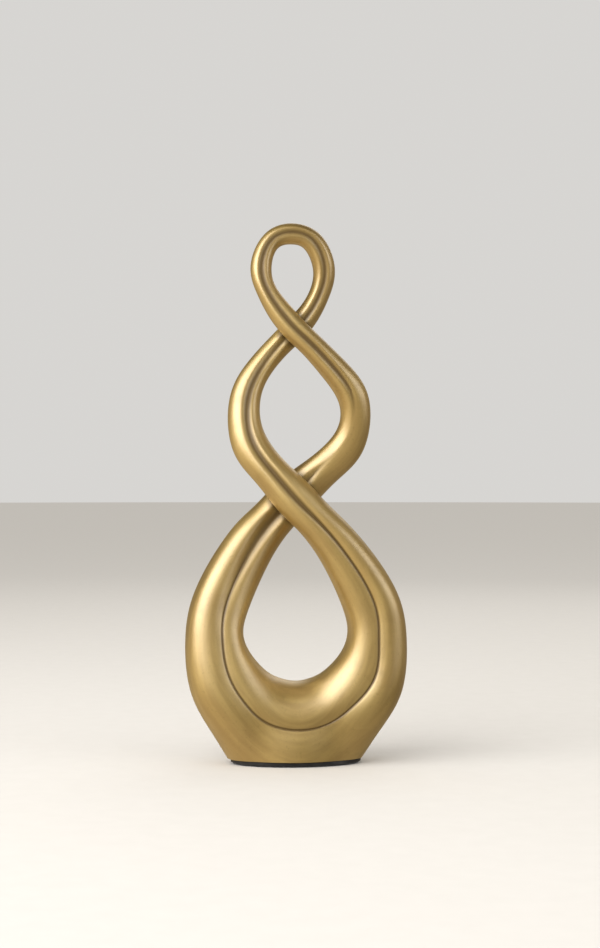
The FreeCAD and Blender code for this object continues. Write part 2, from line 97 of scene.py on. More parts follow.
# The band's body at the first twenty stations; the rest repeat it after a half turn about Z
BAND_BODY_SHARES = (
    # place, lobe A, lobe B, front crease at, thick, back crease at, thick, fullness
    (0, 0.136, 0.136, 0.10, 0.97, 0.10, 0.97, 0),
    (-0.057, 0.136, 0.136, 0.05, 0.97, 0.05, 0.97, 0),
    (-0.175, 0.139, 0.139, 0, 0.97, 0, 0.97, 0),
    (-0.272, 0.143, 0.143, 0, 0.97, 0, 0.97, 0),
    (-0.320, 0.150, 0.150, 0, 0.97, 0, 0.97, 0),
    (-0.342, 0.157, 0.157, 0, 0.97, 0, 0.97, 0),
    (-0.320, 0.164, 0.164, 0, 0.97, 0, 0.97, 0),
    (-0.228, 0.175, 0.175, 0.04, 0.97, 0.12, 0.97, 0),
    (-0.070, 0.191, 0.191, 0.15, 0.98, 0.16, 0.97, 0),
    (0.193, 0.207, 0.207, 0.34, 0.985, 0.13, 0.97, 0),
    (0.395, 0.218, 0.218, 0.26, 0.97, 0.06, 0.97, 0),
    (0.500, 0.228, 0.228, 0.03, 0.97, 0, 0.97, 0.02),
    (0.482, 0.257, 0.246, 0, 0.96, 0, 0.97, 0.02),
    (0.412, 0.295, 0.268, -0.04, 0.96, 0.02, 0.97, 0.06),
    (0.193, 0.366, 0.330, -0.14, 0.98, 0.04, 0.98, 0.14),
    (0.088, 0.410, 0.384, -0.24, 0.985, -0.05, 0.985, 0.18),
    (0.035, 0.461, 0.423, -0.18, 0.985, 0.02, 0.985, 0.16),
    (0.009, 0.471, 0.450, -0.13, 0.985, -0.04, 0.985, 0.04),
    (0, 0.450, 0.461, -0.20, 0.985, -0.18, 0.985, -0.05),
    (0, 0.500, 0.471, -0.27, 0.985, -0.27, 0.985, 0),
)

# How the front crease is worked, station by station. A roll and a trough make it a soft
# valley, and on the lower loop a scribed line runs down it. Lengths are in millimetres.
# The last two columns flatten or fill lobe A and lobe B in front. The back crease is
# worked as the front one at the station that a half turn brings there.
FRONT_CREASES = (
    # roll, trough deep, trough wide, scribed deep, scribed wide, patina and painted shade, A
    # fuller, B fuller
    (1.2, 0.8, 4.6, 0, 0.6, 0.85, 0, 0),
    (1.2, 0.8, 4.6, 0, 0.6, 0.85, 0, 0),
    (1.2, 0.9, 4.8, 0, 0.6, 0.95, 0, 0),
    (1.2, 0.9, 4.8, 0, 0.6, 0.95, 0, 0),
    (1.2, 0.9, 4.8, 0, 0.6, 0.95, 0, 0),
    (1.2, 1.1, 4.4, 0, 0.6, 1, 0, 0),
    (1.2, 1.3, 4.0, 0, 0.6, 1, 0, 0),
    (1.4, 1.0, 3.8, 0, 0.6, 1, 0, 0),
    (1.6, 0.25, 3.8, 0, 0.6, 0.60, 0, 0.08),
    (0.9, 0, 3.2, 0, 0.6, 0, 0.20, 0.18),
    (1.2, 0.40, 4.0, 0, 0.6, 0.55, 0.20, 0.14),
    (2.4, 1.80, 6.5, 0, 0.6, 0.95, 0, 0),
    (2.8, 2.60, 8.5, 0, 0.6, 0.85, 0, 0),
    (2.4, 2.00, 8.5, 0.05, 0.6, 0.80, 0, 0),
    (1.6, 0.30, 6.0, 0.50, 0.7, 0.90, 0, 0),
    (0.8, 0, 4.0, 0.45, 0.55, 1, 0, 0),
    (0.8, 0, 4.0, 0.45, 0.55, 1, 0, 0),
    (0.8, 0, 4.0, 0.45, 0.55, 1, 0, 0),
    (0.8, 0, 4.0, 0.45, 0.55, 1, 0, 0),
    (0.8, 0, 4.0, 0.45, 0.55, 1, 0, 0),
    (0.8, 0, 4.0, 0.45, 0.55, 1, 0, 0),
    (0.8, 0, 4.0, 0.45, 0.55, 1, 0, 0),
    (0.8, 0, 4.0, 0.45, 0.55, 1, 0, 0),
    (0.8, 0, 4.0, 0.45, 0.55, 1, 0, 0),
    (0.9, 0.05, 4.0, 0.45, 0.55, 1, 0, 0),
    (1.1, 0.30, 4.0, 0.45, 0.65, 1, 0, 0),
    (1.3, 0.80, 4.0, 0.40, 0.85, 1, 0, 0),
    (1.4, 1.30, 4.6, 0.20, 1.2, 1, 0, 0),
    (1.5, 1.30, 4.8, 0.10, 1.1, 1, 0, 0),
    (1.5, 1.10, 5.0, 0, 0.8, 1, 0, 0),
    (1.5, 1.00, 5.0, 0, 0.6, 1, 0, 0),
    (1.4, 1.00, 5.0, 0, 0.6, 0.90, 0, 0),
    (1.4, 1.10, 4.6, 0, 0.6, 0.75, 0, 0),
    (1.2, 1.10, 4.4, 0, 0.6, 0.85, 0, 0),
    (1.2, 1.00, 4.4, 0, 0.6, 0.90, 0, 0),
    (1.2, 0.90, 4.6, 0, 0.6, 0.90, 0, 0),
    (1.2, 0.80, 4.6, 0, 0.6, 0.85, 0, 0),
    (1.2, 0.80, 4.6, 0, 0.6, 0.85, 0, 0),
)

STATIONS = len(BAND_EDGE_SHARES)
# The station in the middle of the foot
FOOT_MIDDLE = 19
# The facet on the right of the middle loop: its middle and its reach in stations, and how
# steeply lobe A falls off there
FACET_MIDDLE = 9.4
BEVEL_REACH = 0.9
BEVEL_STEEP = 0.40
# The depth of a fully scribed line, in millimetres, and how many of its widths the brown
# patina and painted shade in it reach to each side
SCRIBED_FULL = 0.45
SCRIBED_PATINA_AND_SHADE = 4.2
# How the rows of numbers are laid out: the band's own come first, then those of the front
# crease and of the back crease
BAND_NUMBERS = 12
CREASE_NUMBERS = len(FRONT_CREASES[0])

# The mesh: rows from one station to the next, points on a fine outline and how they crowd
# towards its crease, and the steps of a search by halves
ROWS_PER_STATION = 24
FINE_POINTS = 360
FINE_CROWDING = 1.5
HALVINGS = 40
# Distances from a crease, in millimetres, where the mesh is finest, and the points beyond
NEAR_CREASE = (0, 0.2, 0.4, 0.6, 0.8, 1.05, 1.4, 1.9, 2.6)
POINTS_BEYOND = 17
# How far to each side, in millimetres, an outline's direction is read, and the least turn
# between two directions that still meet in a point
SLOPE_STEP = 0.05
LEAST_TURN = 1e-9


def station_numbers(index):
    """All the band's numbers at a station, in millimetres."""
    ax, az, bx, bz = BAND_EDGE_SHARES[index]
    if index <= FOOT_MIDDLE:
        place, lobe_a, lobe_b, front, front_thick, back, back_thick, fullness = (
            BAND_BODY_SHARES[index])
    else:
        place, lobe_a, lobe_b, back, back_thick, front, front_thick, fullness = (
            BAND_BODY_SHARES[STATIONS - index])
        place = -place
    thinner = min(lobe_a, lobe_b) * KNOT_DEPTH
    return (
        ax * KNOT_WIDTH, az * KNOT_HEIGHT, bx * KNOT_WIDTH, bz * KNOT_HEIGHT,
        place * WEAVE_DEPTH, lobe_a * KNOT_DEPTH, lobe_b * KNOT_DEPTH,
        front, front_thick * thinner, back, back_thick * thinner, fullness,
        *FRONT_CREASES[index], *FRONT_CREASES[-index])


NUMBERS = np.array([station_numbers(index) for index in range(STATIONS)], float)


def station_parameters():
    """Spacing of the stations along the laws: the root of the way between middles."""
    middles = np.stack([
        (NUMBERS[:, 0] + NUMBERS[:, 2]) / 2, NUMBERS[:, 4],
        (NUMBERS[:, 1] + NUMBERS[:, 3]) / 2], 1)
    ways = np.linalg.norm(np.roll(middles, -1, 0) - middles, axis=1)
    return np.concatenate([[0], np.cumsum(np.sqrt(ways))])


PARAMETERS = station_parameters()


def law_bends():
    """Second derivatives at the stations of the smooth closed laws through the numbers."""
    gaps = np.diff(PARAMETERS)
    slopes = (np.roll(NUMBERS, -1, 0) - NUMBERS) / gaps[:, None]
    matrix = np.zeros((STATIONS, STATIONS))
    for index in range(STATIONS):
        before, after = gaps[index - 1], gaps[index]
        matrix[index, index - 1] += before
        matrix[index, index] += 2 * (before + after)
        matrix[index, (index + 1) % STATIONS] += after
    return np.linalg.solve(matrix, 6 * (slopes - np.roll(slopes, 1, 0)))


BENDS = law_bends()


def band_numbers(stations):
    """The band's numbers at station numbers, which may lie between two stations."""
    whole = np.floor(stations).astype(int)
    here = whole % STATIONS
    there = (here + 1) % STATIONS
    gap = (PARAMETERS[here + 1] - PARAMETERS[here])[:, None]
    rest = (stations - whole)[:, None]
    left = 1 - rest
    return (
        left * NUMBERS[here] + rest * NUMBERS[there]
        + ((left ** 3 - left) * BENDS[here] + (rest ** 3 - rest) * BENDS[there])
        * gap ** 2 / 6)


def lobe_quarter(half_width, crease, half_depth, thick, fullness, bevel):
    """Half a lobe's outline from its crease to its edge: offsets across and deep."""
    # The angle from the edge at which the lobe is as thick as the band is at its crease
    low = np.zeros(len(half_width))
    high = np.full(len(half_width), math.pi / 2)
    for _ in range(HALVINGS):
        angle = (low + high) / 2
        rise = np.sin(angle) * (1 + fullness * np.cos(angle) ** 2) * half_depth
        low = np.where(rise < thick, angle, low)
        high = np.where(rise < thick, high, angle)
    reach = np.cos(low) * (1 + fullness * np.sin(low) ** 2)
    radius = (half_width - crease) / (1 + reach)
    centre = half_width - radius
    angle = (math.pi - low)[:, None] * (
        1 - np.linspace(0, 1, FINE_POINTS) ** FINE_CROWDING)
    full = fullness[:, None]
    across = centre[:, None] + radius[:, None] * np.cos(angle) * (
        1 + full * np.sin(angle) ** 2)
    deep = half_depth[:, None] * np.sin(angle) * (1 + full * np.cos(angle) ** 2)
    slope = (across - across[:, :1]) / (across[:, -1:] - across[:, :1])
    return across, deep * (1 - bevel[:, None] * slope)


def spaced_quarter(outline):
    """The outline's points at chosen distances from its crease, and those distances.

    The last result is the distance of every point of the outline."""
    across, deep = outline
    ways = np.hypot(np.diff(across, axis=1), np.diff(deep, axis=1))
    length = np.concatenate([np.zeros((len(across), 1)), np.cumsum(ways, 1)], 1)
    spots = []
    for row in length:
        beyond = np.linspace(NEAR_CREASE[-1], row[-1], POINTS_BEYOND + 1)[1:]
        spots.append(np.concatenate([NEAR_CREASE, beyond]))
    spots = np.array(spots)
    picked = [
        np.array([np.interp(spot, row, line) for spot, row, line in zip(spots, length, lines)])
        for lines in (across, deep)]
    return picked[0], picked[1], spots, length


def point_and_slope(outline, length, way):
    """The outline's point and direction at a distance from its crease, row by row."""
    across, deep = (
        np.array([
            np.interp((spot - SLOPE_STEP, spot + SLOPE_STEP), row, line)
            for spot, row, line in zip(way, length, lines)])
        for lines in outline)
    return across.mean(1), deep.mean(1), across[:, 1] - across[:, 0], deep[:, 1] - deep[:, 0]


def bevel_share(stations, middle):
    """How steeply lobe A is bevelled: most at the middle of the facet, none far from it."""
    return BEVEL_STEEP * np.exp(-((stations - middle) / BEVEL_REACH) ** 2)


def worked_crease(outline_a, outline_b, roll, trough_deep, trough_wide, scribed_deep,
                  scribed_wide):
    """One face of the band, from lobe A's edge over the crease to lobe B's edge.

    The sharp crease is rolled, sunk to a trough and scribed down its middle."""
    ua, va, spots_a, length_a = spaced_quarter(outline_a)
    ub, vb, spots_b, length_b = spaced_quarter(outline_b)
    # Where the roll ends on each lobe: the point, then the outline's direction there
    pa, qa, ta, sa = point_and_slope(outline_a, length_a, roll)
    pb, qb, tb, sb = point_and_slope(outline_b, length_b, roll)
    # Lobe B runs to the other side, so its across offsets count down
    pb, tb, ub = -pb, -tb, -ub
    # The roll's corner is where the two directions meet, or else midway
    turn = ta * sb - sa * tb
    turn = np.where(np.abs(turn) < LEAST_TURN, LEAST_TURN, turn)
    way = ((pb - pa) * sb - (qb - qa) * tb) / turn
    cu = pa + way * ta
    cv = qa + way * sa
    sound = (cu < np.maximum(pa, pb)) & (cu > np.minimum(pa, pb))
    cu = np.where(sound, cu, (pa + pb) / 2)
    cv = np.where(sound, cv, (qa + qb) / 2)
    # On each lobe, one soft arc over the roll, then the trough and the scribed line
    faces = []
    for u, v, spots, sign in ((ua, va, spots_a, 1), (ub, vb, spots_b, -1)):
        share = 0.5 * (1 + sign * np.clip(spots / roll[:, None], 0, 1))
        other = 1 - share
        rolled_u, rolled_v = (
            other ** 2 * end_b[:, None] + 2 * share * other * corner[:, None]
            + share ** 2 * end_a[:, None]
            for end_a, corner, end_b in ((pa, cu, pb), (qa, cv, qb)))
        inside = spots < roll[:, None]
        u = np.where(inside, rolled_u, u)
        v = np.where(inside, rolled_v, v)
        slope = np.clip(spots / trough_wide[:, None], 0, 1)
        v = v - trough_deep[:, None] * (0.5 + 0.5 * np.cos(math.pi * slope))
        v = v - scribed_deep[:, None] * np.exp(-(spots / scribed_wide[:, None]) ** 2)
        faces.append((u, v, spots))
    (ua, va, da), (ub, vb, db) = faces
    return tuple(
        np.concatenate([a[:, ::-1], b[:, 1:]], 1) for a, b in ((ua, ub), (va, vb), (da, db)))


def band_rows(stations):
    """Points, crease marks and section offsets of the band, a row for each station."""
    numbers = band_numbers(stations).T
    (ax, az, bx, bz, y, lobe_a, lobe_b, front, front_thick, back, back_thick,
     fullness) = numbers[:BAND_NUMBERS]
    front_work = numbers[BAND_NUMBERS:-CREASE_NUMBERS]
    back_work = numbers[-CREASE_NUMBERS:]
    half_width = np.hypot(ax - bx, az - bz) / 2
    faces = []
    for share, thick, work, facet in (
            (front, front_thick, front_work, FACET_MIDDLE),
            (back, back_thick, back_work, STATIONS - FACET_MIDDLE)):
        roll, trough_deep, trough_wide, scribed_deep, scribed_wide, patina_and_shade, *fuller = work
        outlines = [
            lobe_quarter(
                half_width, side * share * half_width, depth, thick, fullness + more, bevel)
            for side, depth, more, bevel in (
                (1, lobe_a, fuller[0], bevel_share(stations, facet)),
                (-1, lobe_b, fuller[1], np.zeros(len(stations))))]
        across, deep, way = worked_crease(
            *outlines, roll, np.maximum(trough_deep, 0), trough_wide,
            np.maximum(scribed_deep, 0), scribed_wide)
        # The crease mark is where brown patina and painted shade lie, over the trough and
        # along the scribed line
        scribed = np.clip(scribed_deep / SCRIBED_FULL, 0, 1)
        reach = trough_wide + scribed * (SCRIBED_PATINA_AND_SHADE * scribed_wide - trough_wide)
        mark = np.clip(patina_and_shade, 0, 1)[:, None] * np.clip(1 - way / reach[:, None], 0, 1)
        faces.append((across, deep, mark))
    # Round the section: the front first, then the back without the points at the edges
    (fu, fv, fm), (bu, bv, bm) = faces
    across = np.concatenate([fu, bu[:, -2:0:-1]], 1)
    deep = np.concatenate([-fv, bv[:, -2:0:-1]], 1)
    marks = np.concatenate([fm, bm[:, -2:0:-1]], 1)
    unit = np.stack([ax - bx, az - bz], 1) / (2 * half_width)[:, None]
    points = np.stack([
        ((ax + bx) / 2)[:, None] + across * unit[:, :1],
        y[:, None] + deep,
        ((az + bz) / 2)[:, None] + across * unit[:, 1:]], 2)
    return points, marks, np.stack([across, deep], 2)


def whole_band():
    """The closed band as one grid, with its outward normals and its way round."""
    stations = np.arange(STATIONS * ROWS_PER_STATION) / ROWS_PER_STATION
    points, marks, section = band_rows(stations)
    along = np.roll(points, -1, 0) - np.roll(points, 1, 0)
    around = np.roll(points, -1, 1) - np.roll(points, 1, 1)
    normals = np.cross(along, around)
    normals /= np.linalg.norm(normals, axis=2)[..., None]
    middles = points.mean(1)
    outward = ((points - middles[:, None]) * normals).sum(2).mean()
    ways = np.linalg.norm(np.roll(middles, -1, 0) - middles, axis=1)
    turns = 2 * math.pi * np.concatenate([[0], np.cumsum(ways)[:-1]]) / ways.sum()
    radius = ways.sum() / (2 * math.pi)
    round_trip = np.stack([radius * np.cos(turns), radius * np.sin(turns)], 1)
    return {
        "points": points * MM,
        "normals": normals * math.copysign(1, outward),
        "flip": outward < 0,
        "marks": marks,
        "section": section * MM,
        "round_trip": round_trip * MM,
    }


BAND = whole_band()


def stretch(first, last):
    """A stretch of the band between two stations, as a dictionary of its grids."""
    rows = np.arange(first * ROWS_PER_STATION, last * ROWS_PER_STATION + 1)
    rows %= STATIONS * ROWS_PER_STATION
    return {key: BAND[key][rows] for key in (
        "points", "normals", "marks", "section", "round_trip")}


def grid_faces(rows, columns):
    """Quads over a grid of rows whose columns close on themselves."""
    row, column = np.meshgrid(np.arange(rows - 1), np.arange(columns), indexing="ij")
    after = (column + 1) % columns
    quads = np.stack([
        row * columns + column, (row + 1) * columns + column,
        (row + 1) * columns + after, row * columns + after], 2).reshape(-1, 4)
    return quads[:, ::-1] if BAND["flip"] else quads


def solid_tree(part):
    """A search tree of a stretch of the band."""
    rows, columns = part["points"].shape[:2]
    return BVHTree.FromPolygons(
        part["points"].reshape(-1, 3).tolist(), grid_faces(rows, columns).tolist())


# The air left between two bedded strands, how near they must be for the painted shade where
# they cross, and a level between the two crossings
BEDDED = 0.15 * MM
TOUCH_REACH = 10 * MM
BETWEEN_CROSSINGS = 251 * MM


def between_levels(points, low, high):
    """The numbers of the points that lie between two levels."""
    return np.flatnonzero((points[:, 2] > low) & (points[:, 2] < high))


def cope(part, front_tree, low, high):
    """Beds a strand that lies behind against the one in front of it, between two levels."""
    points = part["points"].reshape(-1, 3)
    towards_back = Vector((0, 1, 0))
    for number in between_levels(points, low, high):
        place, normal, _, way = front_tree.ray_cast(Vector(points[number]), towards_back)
        if place is not None and normal.dot(towards_back) > 0 and way > BEDDED:
            points[number, 1] += way - BEDDED


def touch_shares(part, tree):
    """How near each point is to the other strand: 1 at contact, 0 out of its reach."""
    points = part["points"].reshape(-1, 3)
    shares = np.zeros(len(points), np.float32)
    for number in between_levels(points, 0, KNOT_HEIGHT * MM):
        place, _, _, way = tree.find_nearest(Vector(points[number]), TOUCH_REACH)
        if place is not None:
            shares[number] = 1 - way / TOUCH_REACH
    return shares


CASTINGS = {
    # node: first and last station of a stretch longer than the casting, its two levels
    "lower_loop": (12, 26, FOOT_LEVEL, LOWER_SEAM),
    "left_arm": (24, 35, LOWER_SEAM, TOP_SEAM),
    "right_arm": (3, 14, LOWER_SEAM, TOP_SEAM),
    "top_loop": (33, 43, TOP_SEAM, None),
}
stretches = {name: stretch(first, last) for name, (first, last, _, _) in CASTINGS.items()}
left_tree = solid_tree(stretches["left_arm"])
right_tree = solid_tree(stretches["right_arm"])
cope(stretches["right_arm"], left_tree, LOWER_SEAM * MM, BETWEEN_CROSSINGS)
cope(stretches["left_arm"], right_tree, BETWEEN_CROSSINGS, TOP_SEAM * MM)
# Painted shade where the strands cross: the nearer the other strand, the darker the leaf
touches = {
    "left_arm": touch_shares(stretches["left_arm"], right_tree),
    "right_arm": touch_shares(stretches["right_arm"], left_tree),
}

# How near points are that a cut takes for one, and that lie on a level, in metres
ONE_POINT = 1e-7
ON_LEVEL = 1e-6


def cut_level(mesh, level, above):
    """Cuts a bmesh at a level, keeps what lies above or below it, and closes the cut."""
    bmesh.ops.bisect_plane(
        mesh, geom=mesh.verts[:] + mesh.edges[:] + mesh.faces[:], dist=ONE_POINT,
        plane_co=(0, 0, level * MM), plane_no=(0, 0, 1),
        clear_inner=above, clear_outer=not above)
    rims = [edge for edge in mesh.edges if edge.is_boundary and all(
        abs(corner.co.z - level * MM) < ON_LEVEL for corner in edge.verts)]
    bmesh.ops.holes_fill(mesh, edges=rims, sides=0)


def keep_band_values(mesh, part, touch):
    """Keeps in the mesh what its normals and its finish follow, point by point."""
    columns = part["points"].shape[1]
    vectors = {
        "true_normal": part["normals"].reshape(-1, 3),
        "strand_place": np.concatenate([
            part["section"],
            np.repeat(part["round_trip"][:, None, :1], columns, 1)], 2).reshape(-1, 3),
    }
    values = {
        "strand_turn": np.repeat(part["round_trip"][:, 1], columns),
        "crease_mark": part["marks"].ravel(),
        "touch": touch,
    }
    for key, data in vectors.items():
        mesh.attributes.new(key, "FLOAT_VECTOR", "POINT").data.foreach_set(
            "vector", data.astype(np.float32).ravel())
    for key, data in values.items():
        mesh.attributes.new(key, "FLOAT", "POINT").data.foreach_set(
            "value", data.astype(np.float32))


def smooth_with_flat_cuts(mesh, levels):
    """Shades the mesh by the band's own normals, and its cuts as flat faces."""
    true_normals = [entry.vector.normalized() for entry in mesh.attributes["true_normal"].data]
    loop_normals = []
    for face in mesh.polygons:
        face.use_smooth = True
        heights = [mesh.vertices[corner].co.z for corner in face.vertices]
        flat = any(
            all(abs(height - level * MM) < ON_LEVEL for height in heights) for level in levels)
        for corner in face.vertices:
            loop_normals.append(face.normal.copy() if flat else true_normals[corner])
    mesh.normals_split_custom_set(loop_normals)
    mesh.attributes.remove(mesh.attributes["true_normal"])


def casting(name):
    """One leafed casting as a closed mesh that stands for its plain solid."""
    _, _, low, high = CASTINGS[name]
    part = stretches[name]
    rows, columns = part["points"].shape[:2]
    mesh = bpy.data.meshes.new(name + "_leafed")
    mesh.from_pydata(
        part["points"].reshape(-1, 3).tolist(), [], grid_faces(rows, columns).tolist())
    keep_band_values(mesh, part, touches.get(name, np.zeros(rows * columns)))
    work = bmesh.new()
    work.from_mesh(mesh)
    cut_level(work, low, above=True)
    if high:
        cut_level(work, high, above=False)
    work.to_mesh(mesh)
    work.free()
    smooth_with_flat_cuts(mesh, [level for level in (low, high) if level])
    piece = bpy.data.objects.new(name + "_leafed", mesh)
    bpy.context.scene.collection.objects.link(piece)
    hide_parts(name)
    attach(piece, "root")
    return piece


class Value:
    """A number, place or colour that changes over a surface, as a wrapped socket.

    Sums on a number add Math nodes."""

    def __init__(self, finish, socket):
        self.finish = finish
        self.socket = socket

    def __add__(self, other):
        return self.finish.math("ADD", self, other)

    def __radd__(self, other):
        return self.finish.math("ADD", other, self)

    def __sub__(self, other):
        return self.finish.math("SUBTRACT", self, other)

    def __rsub__(self, other):
        return self.finish.math("SUBTRACT", other, self)

    def __mul__(self, other):
        return self.finish.math("MULTIPLY", self, other)

    def __rmul__(self, other):
        return self.finish.math("MULTIPLY", other, self)


class Finish:
    """A material, or the room's light, in the making: adds nodes and hands back outputs."""

    def __init__(self, owner, base=None):
        self.owner = owner
        owner.use_nodes = True
        self.tree = owner.node_tree
        self.tree.nodes.clear()
        if base:
            owner.diffuse_color = (*base, 1)

    def node(self, kind, settings=None, sockets=None, output=0):
        """One node: its settings come first, then the values or links of its sockets."""
        made = self.tree.nodes.new("ShaderNode" + kind)
        for key, value in (settings or {}).items():
            setattr(made, key, value)
        for key, value in (sockets or {}).items():
            if isinstance(value, Value):
                self.tree.links.new(value.socket, made.inputs[key])
            else:
                made.inputs[key].default_value = value
        return Value(self, made.outputs[output]) if made.outputs else None

    def math(self, operation, *terms):
        """A Math node on values and plain numbers."""
        return self.node("Math", {"operation": operation}, dict(enumerate(terms)))

    def between(self, value, low, high, at_low, at_high):
        """Follows a value evenly from one limit to another."""
        return self.node("MapRange", None, {
            "Value": value, "From Min": low, "From Max": high,
            "To Min": at_low, "To Max": at_high})

    def smooth(self, value, low, high):
        """Runs softly from 0 at low to 1 at high."""
        return self.node("MapRange", {"interpolation_type": "SMOOTHSTEP"}, {
            "Value": value, "From Min": low, "From Max": high, "To Min": 0, "To Max": 1})

    def blend(self, factor, first, second):
        """Two colours, blended by a number."""
        return self.node("Mix", {"data_type": "RGBA"}, {
            0: factor,
            6: first if isinstance(first, Value) else (*first, 1),
            7: second if isinstance(second, Value) else (*second, 1)}, 2)

    def here(self):
        """The place on the object, in metres."""
        return self.node("TexCoord", output="Object")

    def kept(self, name, output="Fac"):
        """A value kept in the mesh."""
        return self.node("Attribute", {"attribute_name": name}, output=output)

    def stretched(self, vector, scales):
        """A vector with each of its parts multiplied."""
        return self.node(
            "VectorMath", {"operation": "MULTIPLY"}, {0: vector, 1: scales})

    def dot(self, vector, other):
        """How far one vector reaches along another."""
        return self.node("VectorMath", {"operation": "DOT_PRODUCT"}, {0: vector, 1: other}, 1)

    def noise(self, vector, scale, detail, roughness, turn=None):
        """Cloudy noise, about 0.5 on average."""
        settings = {"noise_dimensions": "3D" if turn is None else "4D"}
        sockets = {"Vector": vector, "Scale": scale, "Detail": detail, "Roughness": roughness}
        if turn is not None:
            sockets["W"] = turn
        return self.node("TexNoise", settings, sockets, "Fac")

    def bump(self, height, distance, strength):
        """A normal that follows a height."""
        return self.node("Bump", None, {
            "Height": height, "Distance": distance, "Strength": strength})

    def finished(self, sockets):
        """Closes the material with one shader and returns it."""
        shader = self.node("BsdfPrincipled", None, sockets)
        self.node("OutputMaterial", None, {"Surface": shader})
        return self.owner


# The first colour of each finish is also the plain one that it has without its nodes
LEAF_GOLD = (0.60, 0.405, 0.09)
LEAF_PALE = (0.69, 0.505, 0.15)
LEAF_WARM = (0.45, 0.28, 0.045)
# The brown of patina and of painted shade
PATINA_AND_SHADE_BROWN = (0.10, 0.055, 0.012)
# How far the leaf's tones are evened out, and how rough it is on average
LEAF_EVENED = 0.4
LEAF_ROUGHNESS = 0.58
# The squares of leaf, about 33 mm wide and laid a little unevenly
SQUARES = {"Scale": 30, "Randomness": 0.7}
# The rubbed streaks are much finer across the band than along it
STREAKS_ACROSS = 260
STREAKS_ALONG = 14
# How brown the leaf is at most: patina and painted shade in a crease, painted shade where the
# strands cross, the clouds of grime, specks
CREASE_PATINA_AND_SHADE = 0.9
CROSSING_SHADE = 0.88
GRIME_BROWN = 0.16
SPECK_BROWN = 0.20

STEEL_GREY = (0.55, 0.55, 0.56)
STEEL_CLEAN = (0.60, 0.60, 0.61)
STEEL_OILED = (0.46, 0.45, 0.43)
# Scales of the turned rings, which are fine along Z and wide across it
RING_SCALES = (60, 60, 2600)

PAINT_BLACK = (0.02, 0.02, 0.02)
PAINT_DEEP = (0.010, 0.010, 0.011)
PAINT_RUBBED = (0.030, 0.028, 0.026)

FELT_BLACK = (0.03, 0.03, 0.03)
FELT_DEEP = (0.010, 0.010, 0.011)
FELT_RAISED = (0.045, 0.044, 0.042)
LINT_GREY = (0.16, 0.155, 0.15)
# Scales of the fibres that lie one way, and of those that cross them
FIBRE_SCALES = (1900, 700, 1900)
CROSSED_SCALES = (700, 1900, 1900)

FLOOR_PALE = (0.55, 0.53, 0.5)
FLOOR_SHADED = (0.54, 0.52, 0.49)
FLOOR_LIT = (0.57, 0.55, 0.52)


def gold_leaf():
    """Champagne gold leaf over cast metal: squares, rubbed streaks, brown patina and painted
    shade in the creases, painted shade where the strands cross.
    """
    finish = Finish(bpy.data.materials.new("gold_leaf"), LEAF_GOLD)
    here = finish.here()
    place = finish.kept("strand_place", "Vector")
    turn = finish.kept("strand_turn")
    crease = finish.kept("crease_mark")
    touch = finish.kept("touch")
    clouds = finish.noise(here, scale=55, detail=4, roughness=0.6)
    blotches = finish.noise(here, scale=18, detail=3, roughness=0.5)
    streaks = finish.noise(
        finish.stretched(place, (STREAKS_ACROSS, STREAKS_ACROSS, STREAKS_ALONG)),
        scale=1, detail=3, roughness=0.6, turn=turn * STREAKS_ALONG)
    squares = finish.node(
        "TexVoronoi", {"distance": "CHEBYCHEV"}, {"Vector": here, **SQUARES}, "Color")
    square_tone = finish.node("SeparateColor", None, {"Color": squares}, "Red")
    tone = blotches * 0.45 + streaks * 0.5 + square_tone * 0.05
    leaf = finish.blend(finish.smooth(tone, low=0.34, high=0.66), LEAF_WARM, LEAF_PALE)
    leaf = finish.blend(LEAF_EVENED, leaf, LEAF_GOLD)
    # Brown patina and painted shade in the creases, painted shade where the strands cross
    crease_patina_and_shade = finish.smooth(crease + (clouds - 0.5) * 0.15, low=0.15, high=0.85)
    crossing_shade = finish.smooth(touch + (clouds - 0.5) * 0.25, low=0.2, high=0.85)
    patina_and_shade = finish.math("MAXIMUM", crease_patina_and_shade * CREASE_PATINA_AND_SHADE, crossing_shade * CROSSING_SHADE)
    # Grime and specks are dirt, laid at random
    grime = finish.smooth(clouds, low=0.5, high=0.8) * GRIME_BROWN
    dust = finish.noise(here, scale=420, detail=4, roughness=0.65)
    specks = finish.smooth(dust, low=0.54, high=0.78) * SPECK_BROWN
    patina_and_shade = finish.math("MAXIMUM", patina_and_shade, finish.math("MAXIMUM", grime, specks))
    colour = finish.blend(patina_and_shade, leaf, PATINA_AND_SHADE_BROWN)
    rough = (
        LEAF_ROUGHNESS + (clouds - 0.5) * 0.16 + (streaks - 0.5) * 0.16 + patina_and_shade * 0.15)
    fine = finish.noise(here, scale=900, detail=2, roughness=0.5)
    height = clouds * 0.45 + streaks * 0.4 + fine * 0.12
    return finish.finished({
        "Base Color": colour,
        "Metallic": 1 - patina_and_shade * 0.35,
        "Roughness": rough,
        "Normal": finish.bump(height, 0.3 * MM, strength=0.5),
        "Coat Weight": 1 - patina_and_shade * 0.9,
        "Coat Roughness": 0.41,
        "Coat IOR": 2.3,
    })


def turned_steel():
    """Plain turned steel with fine rings and a trace of oil."""
    finish = Finish(bpy.data.materials.new("turned_steel"), STEEL_GREY)
    here = finish.here()
    rings = finish.noise(
        finish.stretched(here, RING_SCALES), scale=1, detail=3, roughness=0.6)
    oil = finish.noise(here, scale=160, detail=3, roughness=0.55)
    colour = finish.blend(finish.smooth(oil, low=0.35, high=0.7), STEEL_CLEAN, STEEL_OILED)
    return finish.finished({
        "Base Color": colour,
        "Metallic": 1,
        "Roughness": 0.24 + rings * 0.16 + oil * 0.08,
        "Normal": finish.bump(rings, 0.1 * MM, strength=0.6),
    })


